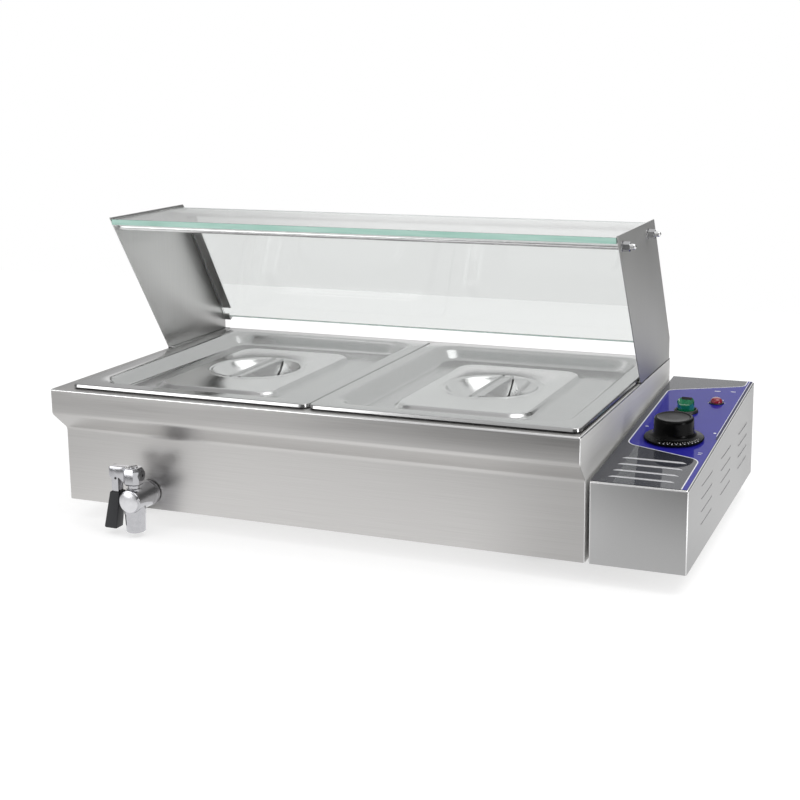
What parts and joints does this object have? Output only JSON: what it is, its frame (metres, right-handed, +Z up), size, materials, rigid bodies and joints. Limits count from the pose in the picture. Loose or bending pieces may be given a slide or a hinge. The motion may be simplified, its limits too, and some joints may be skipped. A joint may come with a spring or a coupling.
{
  "type": "electric bain-marie",
  "caption": "Countertop electric bain-marie: brushed steel water bath, side-by-side lidded pans, leaning glass food guard, lever drain tap and a side box with thermostat knob, rocker and lamp.",
  "frame": {"origin": "middle of the whole footprint, on the plane the feet stand on", "axes": "+X towards the control box, along the width; +Y to the rear; +Z up"},
  "size_m": [0.6654, 0.3974, 0.301],
  "materials": {
    "casing_steel": "brushed stainless sheet",
    "satin_steel": "satin pressed stainless",
    "plain_steel": "plain",
    "chrome": "bright",
    "brass": "plain",
    "glass": "clear, ground edges",
    "black_plastic": "matt moulded",
    "rubber": "moulded",
    "blue_film": "printed film",
    "green_plastic": "translucent",
    "red_plastic": "translucent",
    "white_plastic": "plain",
    "lead_insulation": "plain"
  },
  "bodies": {
    "base": {"outer_casing": "casing_steel", "base_plate": "casing_steel", "control_box": "casing_steel", "box_floor": "casing_steel", "guard_panel_left": "casing_steel", "guard_panel_right": "casing_steel", "glass_clips": "casing_steel", "water_tank": "satin_steel", "pan_support_bar": "satin_steel", "foot_screws": "plain_steel", "foot_nuts": "plain_steel", "heating_element": "plain_steel", "element_supports": "plain_steel", "sensor_clip": "plain_steel", "box_screws": "plain_steel", "box_nuts": "plain_steel", "front_rod": "chrome", "rear_rod": "chrome", "rod_washers": "chrome", "rod_nuts": "chrome", "tap_body": "chrome", "tap_plug": "chrome", "element_nuts": "brass", "thermostat_sensor": "brass", "sensor_nut": "brass", "tap_locknut": "brass", "shelf_glass": "glass", "rear_glass": "glass", "switch_housing": "black_plastic", "lamp_holder": "black_plastic", "cable_gland": "black_plastic", "gland_nut": "black_plastic", "rubber_feet": "rubber", "box_spacers": "rubber", "tap_gasket": "rubber", "control_overlay": "blue_film", "lamp_lens": "red_plastic", "thermostat_body": "white_plastic", "terminal_block": "white_plastic", "tap_seats": "white_plastic", "wiring": "lead_insulation"},
    "pan_left": {"pan_left": "satin_steel"},
    "pan_right": {"pan_right": "satin_steel"},
    "lid_left": {"lid_left": "satin_steel", "lid_left_handle": "satin_steel"},
    "lid_right": {"lid_right": "satin_steel", "lid_right_handle": "satin_steel"},
    "tap_handle": {"tap_ball": "chrome", "tap_stem": "chrome", "tap_lever": "chrome", "tap_grip": "black_plastic", "tap_screw": "plain_steel"},
    "knob": {"thermostat_knob": "black_plastic", "thermostat_spindle": "plain_steel"},
    "rocker": {"switch_rocker": "green_plastic"}
  },
  "joints": [
    {"name": "pan_left_lift", "type": "slide", "parent": "base", "child": "pan_left", "axis": [0, 0, 1], "range_m": [0, 0.03]},
    {"name": "pan_right_lift", "type": "slide", "parent": "base", "child": "pan_right", "axis": [0, 0, 1], "range_m": [0, 0.03]},
    {"name": "lid_left_lift", "type": "slide", "parent": "pan_left", "child": "lid_left", "axis": [0, -0.512, 0.859], "range_m": [0, 0.095]},
    {"name": "lid_right_lift", "type": "slide", "parent": "pan_right", "child": "lid_right", "axis": [0, -0.512, 0.859], "range_m": [0, 0.095]},
    {"name": "tap_lever_turn", "type": "hinge", "parent": "base", "child": "tap_handle", "pos_m": [-0.2119, -0.18735, 0.0375], "axis": [0, 0, 1], "range_deg": [0, 90]},
    {"name": "knob_turn", "type": "hinge", "parent": "base", "child": "knob", "pos_m": [0.28897, -0.02765, 0.10536], "axis": [0, 0.0671, -0.9977], "range_deg": [0, 270]},
    {"name": "switch_rock", "type": "hinge", "parent": "base", "child": "rocker", "pos_m": [0.28268, 0.05889, 0.11338], "axis": [-1, 0, 0], "range_deg": [0, 32]}
  ]
}
